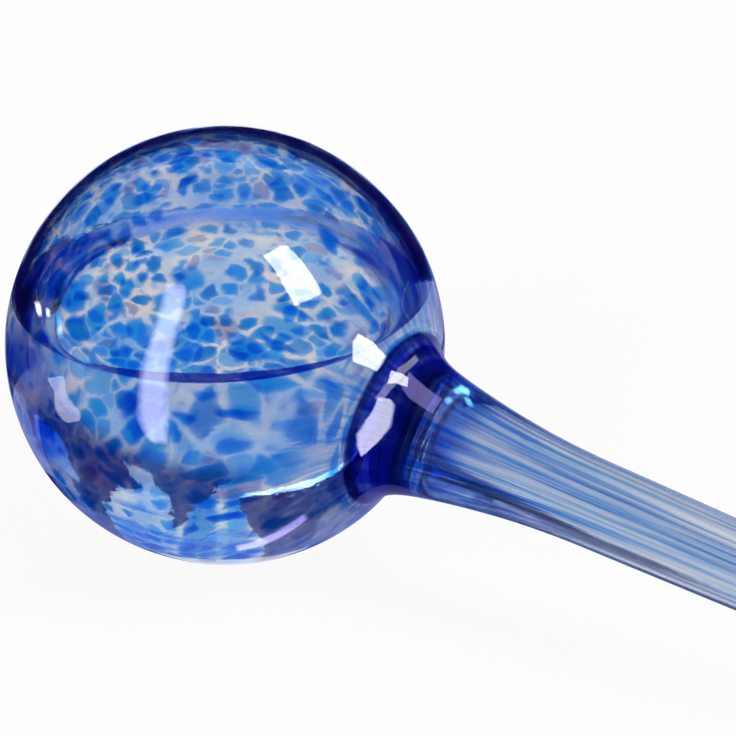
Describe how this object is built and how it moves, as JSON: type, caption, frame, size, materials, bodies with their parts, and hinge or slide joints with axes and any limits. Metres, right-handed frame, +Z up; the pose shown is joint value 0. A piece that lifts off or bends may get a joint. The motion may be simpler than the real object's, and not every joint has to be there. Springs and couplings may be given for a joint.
{
  "type": "watering globe",
  "caption": "Blown-glass ball on a long hollow stem, part filled with water, that waters a potted plant slowly when its stem is pushed into the soil.",
  "frame": {"origin": "on the table, under the middle of the lying globe's box", "axes": "+Z up from the table; +X along the table from the bulb to the tip of the stem, which leans down to touch the table"},
  "size_m": [0.2882, 0.08, 0.08],
  "materials": {
    "blue_glass": "polished",
    "water": "polished"
  },
  "bodies": {
    "root": {"glass_bulb": "blue_glass", "glass_stem": "blue_glass", "water_fill": "water"}
  },
  "joints": []
}
